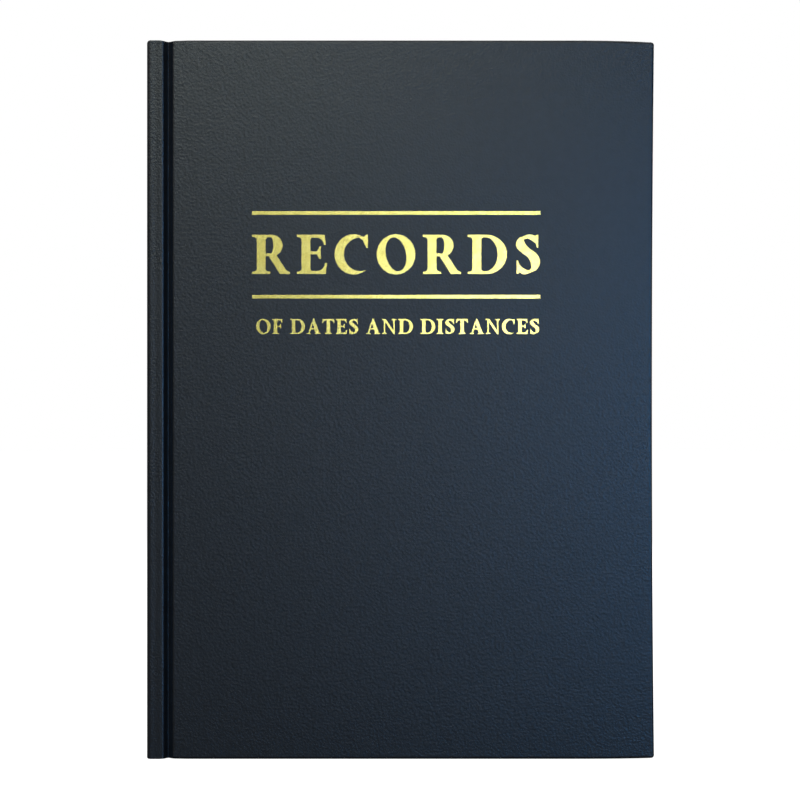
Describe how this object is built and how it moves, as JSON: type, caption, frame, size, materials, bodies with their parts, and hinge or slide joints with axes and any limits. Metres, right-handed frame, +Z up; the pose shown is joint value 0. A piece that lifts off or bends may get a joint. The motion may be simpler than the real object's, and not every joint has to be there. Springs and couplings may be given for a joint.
{
  "type": "hardback logbook",
  "caption": "Case-bound hardback logbook with sewn leaves, pressed cover joints and a gold foil title between rules; both covers and the first and last leaves turn.",
  "frame": {"origin": "on the surface that the book stands on, under the middle of the closed book", "axes": "+Z up from tail to head, -Y out of the front cover, +Y out of the back cover, -X out of the spine, +X out of the fore edge"},
  "size_m": [0.2138, 0.0164, 0.303],
  "materials": {
    "covering": "leather-grain coated paper covering, satin, dark navy",
    "board": "grey board, matt",
    "paper": "uncoated writing paper, ruled, off-white",
    "endpaper": "plain endpaper, white",
    "kraft": "brown kraft lining paper",
    "gauze": "open cotton gauze stiffened with size",
    "thread": "waxed linen sewing thread",
    "endband": "woven endband, navy and white",
    "foil": "hot-stamped gold foil, bright"
  },
  "bodies": {
    "book_block": {"spine_covering": "covering", "spine_board": "board", "front_joint_strip": "covering", "back_joint_strip": "covering", "spine_lining": "kraft", "spine_gauze": "gauze", "sewing_thread_1": "thread", "sewing_thread_2": "thread", "sewing_thread_3": "thread", "sewing_thread_4": "thread", "headband": "endband", "tailband": "endband", "front_endpaper_hinge": "endpaper", "back_endpaper_hinge": "endpaper", "section_1_fold": "paper", "section_2_fold": "paper", "section_3": "paper", "section_4": "paper", "section_5": "paper", "section_6": "paper", "section_7": "paper", "section_8_fold": "paper", "section_9_fold": "paper"},
    "front_leaves": {"front_flyleaf": "endpaper", "section_1_leaves": "paper", "section_2_leaves": "paper"},
    "front_cover": {"front_covering": "covering", "front_board": "board", "front_gauze_flange": "gauze", "front_pastedown": "endpaper", "title_rule_upper": "foil", "title_rule_lower": "foil", "title_letter_r": "foil", "title_letter_e": "foil", "title_letter_c": "foil", "title_letter_o": "foil", "title_letter_r_2": "foil", "title_letter_d": "foil", "title_letter_s": "foil"},
    "back_leaves": {"back_flyleaf": "endpaper", "section_8_leaves": "paper", "section_9_leaves": "paper"},
    "back_cover": {"back_covering": "covering", "back_board": "board", "back_gauze_flange": "gauze", "back_pastedown": "endpaper"}
  },
  "joints": [
    {"name": "front_leaves_turn", "type": "hinge", "parent": "book_block", "child": "front_leaves", "pos_m": [-0.098, -0.00822, 0.1515], "axis": [0, 0, 1], "range_deg": [-179.8, 0]},
    {"name": "front_cover_hinge", "type": "hinge", "parent": "front_leaves", "child": "front_cover", "pos_m": [-0.098, -0.00822, 0.1515], "axis": [0, 0, -1], "range_deg": [0, 179.8]},
    {"name": "back_leaves_turn", "type": "hinge", "parent": "book_block", "child": "back_leaves", "pos_m": [-0.098, 0.00822, 0.1515], "axis": [0, 0, -1], "range_deg": [-179.8, 0]},
    {"name": "back_cover_hinge", "type": "hinge", "parent": "back_leaves", "child": "back_cover", "pos_m": [-0.098, 0.00822, 0.1515], "axis": [0, 0, 1], "range_deg": [0, 179.8]}
  ]
}
